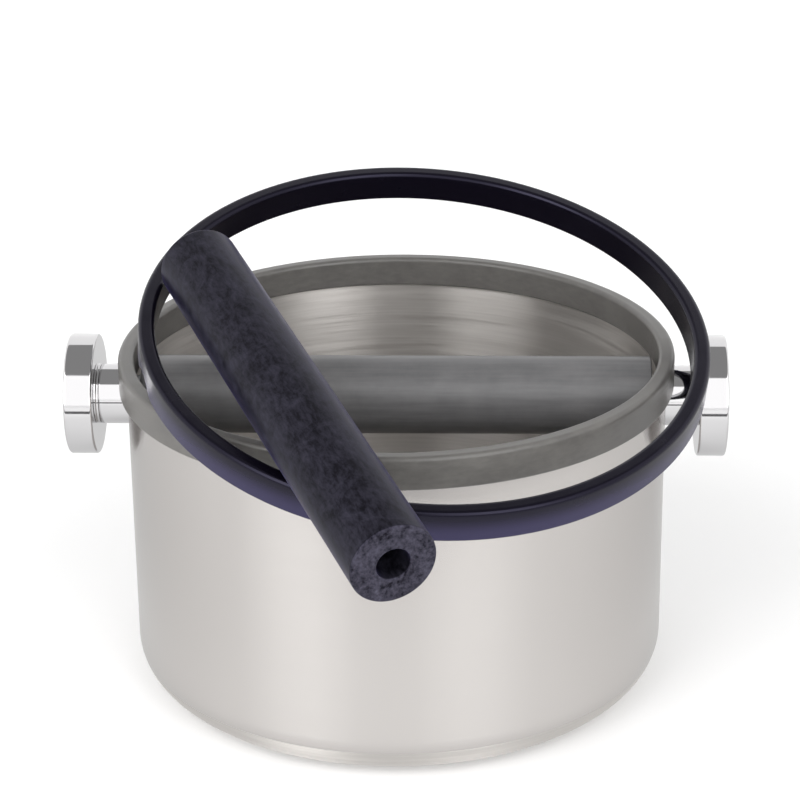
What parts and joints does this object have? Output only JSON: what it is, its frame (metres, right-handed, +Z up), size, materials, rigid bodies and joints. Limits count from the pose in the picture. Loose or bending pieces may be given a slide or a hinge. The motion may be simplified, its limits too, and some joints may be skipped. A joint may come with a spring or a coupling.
{
  "type": "espresso knock box",
  "caption": "Round steel knock box with a rubber rim ring and a removable rubber-sleeved knock bar on screwed knobs, with a spare ring and a spare sleeve lying on top.",
  "frame": {"origin": "centre of the flat face the box stands on", "axes": "+Z up, the knock bar along X, front towards -Y"},
  "size_m": [0.2134, 0.2506, 0.1556],
  "materials": {
    "satin_steel": "satin, fine lines round the bowl",
    "polished_steel": "mirror polished",
    "plated_steel": "zinc plated",
    "worn_rubber": "matt, greyed with use",
    "new_rubber": "smooth, blue-black, slight sheen",
    "marbled_rubber": "cut from extruded rubber, cloudy",
    "pad_rubber": "matt"
  },
  "bodies": {
    "box": {"bowl": "satin_steel", "base_pad": "pad_rubber", "bar_rod": "plated_steel", "washer_left": "plated_steel", "washer_right": "plated_steel", "gasket_left": "pad_rubber", "gasket_right": "pad_rubber"},
    "rim": {"rim_ring": "worn_rubber"},
    "sleeve": {"bar_sleeve": "worn_rubber"},
    "left_spacer": {"spacer_left": "polished_steel"},
    "left_knob": {"knob_left": "polished_steel", "stud_left": "plated_steel"},
    "right_spacer": {"spacer_right": "polished_steel"},
    "right_knob": {"knob_right": "polished_steel", "stud_right": "plated_steel"},
    "loose_ring": {"spare_ring": "new_rubber"},
    "loose_sleeve": {"spare_sleeve": "marbled_rubber"}
  },
  "joints": [
    {"name": "rim_ring_pull", "type": "slide", "parent": "box", "child": "rim", "axis": [0, 0, 1], "range_m": [0, 0.03]},
    {"name": "bar_sleeve_roll", "type": "hinge", "parent": "box", "child": "sleeve", "pos_m": [0, 0, 0.0956], "axis": [1, 0, 0], "continuous": true},
    {"name": "left_spacer_slide", "type": "slide", "parent": "box", "child": "left_spacer", "axis": [-1, 0, 0], "range_m": [0, 0.014]},
    {"name": "left_knob_turn", "type": "hinge", "parent": "left_spacer", "child": "left_knob", "pos_m": [-0.1, 0, 0.0956], "axis": [-1, 0, 0], "range_deg": [0, 5040]},
    {"name": "right_spacer_slide", "type": "slide", "parent": "box", "child": "right_spacer", "axis": [1, 0, 0], "range_m": [0, 0.014]},
    {"name": "right_knob_turn", "type": "hinge", "parent": "right_spacer", "child": "right_knob", "pos_m": [0.1, 0, 0.0956], "axis": [1, 0, 0], "range_deg": [0, 5040]},
    {"name": "spare_ring_lift", "type": "slide", "parent": "rim", "child": "loose_ring", "axis": [0, 0, 1], "range_m": [0, 0.04]},
    {"name": "spare_sleeve_pull", "type": "slide", "parent": "loose_ring", "child": "loose_sleeve", "axis": [0.4047, -0.8921, -0.2011], "range_m": [0, 0.08]}
  ],
  "couplings": [
    {"joint": "left_spacer_slide", "follows": "left_knob_turn", "m_per_rad": 0.00015915},
    {"joint": "right_spacer_slide", "follows": "right_knob_turn", "m_per_rad": 0.00015915}
  ]
}
